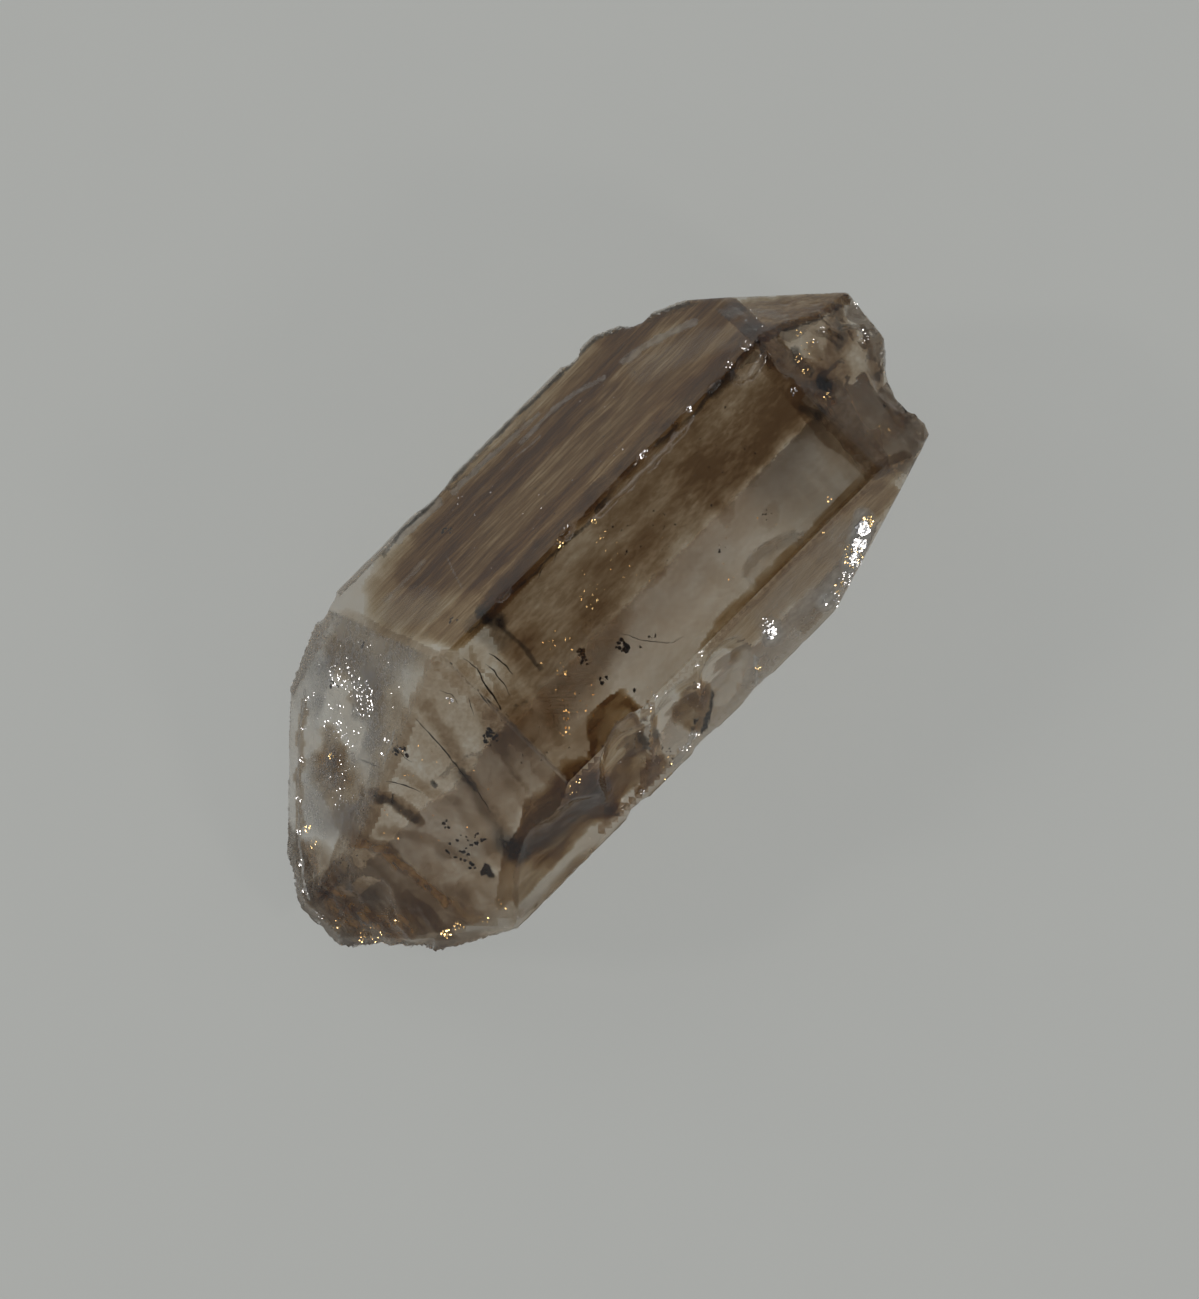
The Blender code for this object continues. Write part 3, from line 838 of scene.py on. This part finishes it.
GOLD_GLINTS = [
    ("skin", 0, 446, 934, 5, 18, 0.090), ("skin", 0, 459, 926, 5, 10, 0.060),
    ("skin", 0, 370, 940, 12, 22, 0.055), ("skin", 0, 396, 924, 4, 5, 0.050),
    ("skin", 0, 340, 930, 10, 8, 0.040), ("skin", 0, 484, 920, 6, 6, 0.045),
    ("skin", 0, 500, 905, 8, 6, 0.045), ("skin", 0, 330, 756, 3, 6, 0.080),
    ("skin", 0, 306, 830, 4, 9, 0.060), ("skin", 0, 312, 845, 5, 7, 0.050),
    ("top", 1.4, 562, 672, 5, 6, 0.080), ("top", 1.4, 566, 714, 5, 6, 0.080),
    ("top", 1.4, 566, 732, 6, 6, 0.080), ("top", 1.4, 575, 700, 26, 22, 0.055),
    ("top", 1.2, 555, 650, 20, 14, 0.060), ("skin", 0, 594, 523, 3, 9, 0.060),
    ("skin", 0, 560, 545, 5, 9, 0.045), ("top", 0.8, 592, 600, 12, 12, 0.070),
    ("top", 0.8, 600, 560, 30, 16, 0.050), ("skin", 0, 827, 501, 3, 7, 0.050),
    ("skin", 0, 820, 534, 2, 6, 0.050), ("skin", 0, 825, 399, 4, 9, 0.055),
    ("skin", 0, 804, 374, 4, 7, 0.055), ("skin", 0, 796, 361, 4, 6, 0.055),
    ("skin", 0, 797, 335, 4, 8, 0.060), ("skin", 0, 808, 350, 12, 10, 0.040),
    ("skin", 0, 756, 668, 4, 9, 0.045), ("skin", 0, 866, 522, 6, 30, 0.080),
    ("skin", 0, 852, 556, 12, 40, 0.060), ("skin", 0, 842, 588, 9, 18, 0.055),
    ("skin", 0, 576, 787, 10, 8, 0.045), ("skin", 0, 640, 700, 20, 8, 0.035),
    ("skin", 0, 670, 770, 14, 9, 0.040), ("top", 1.0, 640, 560, 50, 14, 0.040),
    ("top", 1.0, 760, 560, 50, 8, 0.040), ("left top", 0.8, 430, 800, 60, 26, 0.045),
    ("skin", 0, 880, 440, 20, 8, 0.035),
]
# A plate is a thin slab between two rings, and no corner comes nearer than this to the solid's highest
# point. Its tilt is drawn at random, and one that lies too low or outside the crystal is left out.
TOP_GAP = 0.004
HALF_PLATE = 0.006
PLATE_SIDES = 5
INNER_TILT = 0.03
SKIN_TILT = 0.06
SUNK = 0.02
LOWEST_GLINT = 2.0
LIT_FACE = 0.2
crystal_top = cad_box[1][2] / MM - TOP_GAP
glint_draw = random.Random(7)
glint_mesh = bmesh.new()
gold_layer = glint_mesh.verts.layers.float.new("gold")
rows = [(0.0, row) for row in WHITE_GLINTS] + [(1.0, row) for row in GOLD_GLINTS]
for gold, (face, depth, x, y, spread, count, size) in rows:
    if face != "skin":
        lit_face = face if LAMP_DIRECTION.dot(normal_of(face)) > LIT_FACE else "top"
        mirror = -bent(DOWN, normal_of(face)) - bent(-LAMP_DIRECTION, normal_of(lit_face))
    for plate in range(count):
        turn = glint_draw.uniform(0, math.tau)
        out = spread * math.sqrt(glint_draw.random())
        place = (x + out * math.cos(turn), y + out * math.sin(turn))
        tilt = INNER_TILT
        if face == "skin":
            above = (plan(*place) - DOWN * OVERHEAD) * MM
            hit, skin_normal, index, fall = skin_tree.ray_cast(above, DOWN)
            if hit is None or hit.z < LOWEST_GLINT * MM:
                continue
            middle = hit / MM
            seen = LAMP_DIRECTION.dot(skin_normal) > FRONT_LAMP_DIRECTION.dot(skin_normal)
            mirror = (LAMP_DIRECTION if seen else FRONT_LAMP_DIRECTION) - DOWN
            tilt = SKIN_TILT
        else:
            middle = inside(face, *place, depth * glint_draw.uniform(0.8, 1.3))
            if depth_of(middle) < SUNK:
                continue
        normal = mirror.normalized()
        normal += Vector([glint_draw.gauss(0, tilt) for axis in range(3)])
        normal.normalize()
        across = normal.orthogonal().normalized()
        upward = normal.cross(across)
        spin = glint_draw.uniform(0, math.tau)
        width = size * glint_draw.uniform(0.3, 1.1)
        height = size * glint_draw.uniform(0.3, 0.9)
        plates = []
        for lift in (-HALF_PLATE, HALF_PLATE):
            ring = []
            for side in range(PLATE_SIDES):
                angle = spin + math.tau * side / PLATE_SIDES
                push = across * (width * math.cos(angle)) + upward * (height * math.sin(angle))
                corner = middle + push + normal * lift
                corner.z = min(corner.z, crystal_top)
                ring.append(glint_mesh.verts.new(corner * MM))
            plates.append(ring)
        low, high = plates
        for corner in low + high:
            corner[gold_layer] = gold
        glint_mesh.faces.new(high)
        glint_mesh.faces.new(low[::-1])
        for side in range(PLATE_SIDES):
            after = (side + 1) % PLATE_SIDES
            glint_mesh.faces.new((low[side], low[after], high[after], high[side]))
WHITE_GLINT = (0.72, 0.71, 0.73, 1.0)
GOLD_GLINT = (0.72, 0.50, 0.23, 1.0)
glint = Finish("bright_crack")
glint_tone = glint.noise(1.5, 2.0)
golden = glint.node("Attribute", {"attribute_name": "gold"}, {}, "Fac")
glint.set(
    Base_Color=glint.mix(golden, WHITE_GLINT, GOLD_GLINT),
    Metallic=1.0,
    Roughness=0.10 + glint_tone * 0.15,
)
add_object("glint_flakes", glint_mesh, glint)

# The floor that it lies on: a plain pale grey board, wide enough to fill every view. It glows a little, as
# if it were lit from behind, so that the crystal throws hardly any shadow on it.
FLOOR_GREY = (0.19, 0.192, 0.184, 1.0)
FLOOR_GRAIN = (0.175, 0.177, 0.172, 1.0)
FLOOR_GLOW = 0.318
FLOOR_DROP = 0.03
FLOOR_REACH = 4.0
floor_mesh = bmesh.new()
bmesh.ops.create_grid(floor_mesh, x_segments=8, y_segments=8, size=FLOOR_REACH)
floor_finish = Finish("pale_floor")
floor_grain = floor_finish.steps(floor_finish.noise(0.12, 6.0), (0.35, 0.0), (0.65, 1.0))
floor_finish.set(
    Base_Color=floor_finish.mix(floor_grain * 0.5, FLOOR_GREY, FLOOR_GRAIN),
    Roughness=0.75,
    Emission_Color=(0.98, 1.0, 0.96, 1.0),
    Emission_Strength=FLOOR_GLOW,
    Normal=floor_finish.node(
        "Bump", {}, {"Strength": 0.1, "Distance": 0.02 * MM, "Height": floor_finish.noise(2.0, 4.0)}
    ),
)
floor_data = bpy.data.meshes.new("floor")
floor_mesh.to_mesh(floor_data)
floor_mesh.free()
floor_data.materials.append(floor_finish.material)
floor = bpy.data.objects.new("floor", floor_data)
floor.location = (0, 0, -FLOOR_DROP * MM)
bpy.context.scene.collection.objects.link(floor)

# The light: a soft, faintly blue room that is bright to the sides and dark overhead, where the camera is, a
# broad soft lamp behind the crystal, and two small bright ones, behind it and before it, that make the
# sparkles.
SKY_BY_HEIGHT = [(0.0, 0.48), (0.25, 0.34), (0.50, 0.42), (0.80, 0.16), (1.0, 0.10)]
scene = bpy.context.scene
scene.world = bpy.data.worlds.new("soft_light")
scene.world.use_nodes = True
sky_tree = scene.world.node_tree
sky_place = sky_tree.nodes.new("ShaderNodeTexCoord")
sky_height = sky_tree.nodes.new("ShaderNodeSeparateXYZ")
sky_ramp = sky_tree.nodes.new("ShaderNodeValToRGB")
while len(sky_ramp.color_ramp.elements) < len(SKY_BY_HEIGHT):
    sky_ramp.color_ramp.elements.new(0.5)
for element, (height, strength) in zip(sky_ramp.color_ramp.elements, SKY_BY_HEIGHT):
    element.position = height
    element.color = (0.97 * strength, strength, 1.03 * strength, 1.0)
sky_tree.links.new(sky_place.outputs["Generated"], sky_height.inputs[0])
sky_tree.links.new(sky_height.outputs["Z"], sky_ramp.inputs["Fac"])
sky_tree.links.new(sky_ramp.outputs["Color"], sky_tree.nodes["Background"].inputs["Color"])


def lamp(name, direction, distance, size, power, colour):
    """A square soft lamp that faces the crystal."""
    data = bpy.data.lights.new(name, "AREA")
    data.shape = "SQUARE"
    data.size = size
    data.energy = power
    data.color = colour
    item = bpy.data.objects.new(name, data)
    aim = Vector(direction).normalized()
    item.location = aim * distance
    item.rotation_euler = aim.to_track_quat("Z", "Y").to_euler()
    item.visible_camera = False
    scene.collection.objects.link(item)


lamp("soft_lamp", (0.0, 0.80, 0.60), distance=2.4, size=1.20, power=4.8, colour=(1.0, 0.97, 0.94))
lamp("sparkle_lamp", LAMP_DIRECTION, distance=2.3, size=0.30, power=4.8, colour=(1.0, 0.96, 0.90))
lamp("front_lamp", FRONT_LAMP_DIRECTION, distance=2.3, size=0.30, power=3.9, colour=(1.0, 0.95, 0.86))

# The camera, straight above and far enough away that the sides hardly spread, turned so that the long axis
# runs from the picture's lower left to its upper right.
CAMERA_RISE = 0.80
CAMERA_PLACE = (-0.75 * MM, -2.15 * MM)
CAMERA_TURN = math.radians(-45)
VIEW_HEIGHT = 63.4 * MM
lens = bpy.data.cameras.new("camera")
lens.sensor_width = 36.0
lens.lens = lens.sensor_width * CAMERA_RISE / VIEW_HEIGHT
lens.clip_start = 0.01
lens.clip_end = 20.0
camera = bpy.data.objects.new("camera", lens)
camera.location = (*CAMERA_PLACE, AXIS_MIDDLE.z * MM + CAMERA_RISE)
camera.rotation_euler = (0, 0, CAMERA_TURN)
scene.collection.objects.link(camera)
scene.camera = camera

# Colours are shown as they are. Light may cross many films and faces on its way through the crystal.
scene.view_settings.view_transform = "Standard"
scene.cycles.use_denoising = True
scene.cycles.max_bounces = 28
scene.cycles.diffuse_bounces = 4
scene.cycles.glossy_bounces = 16
scene.cycles.transmission_bounces = 28
scene.cycles.transparent_max_bounces = 48
scene.cycles.sample_clamp_indirect = 4.0
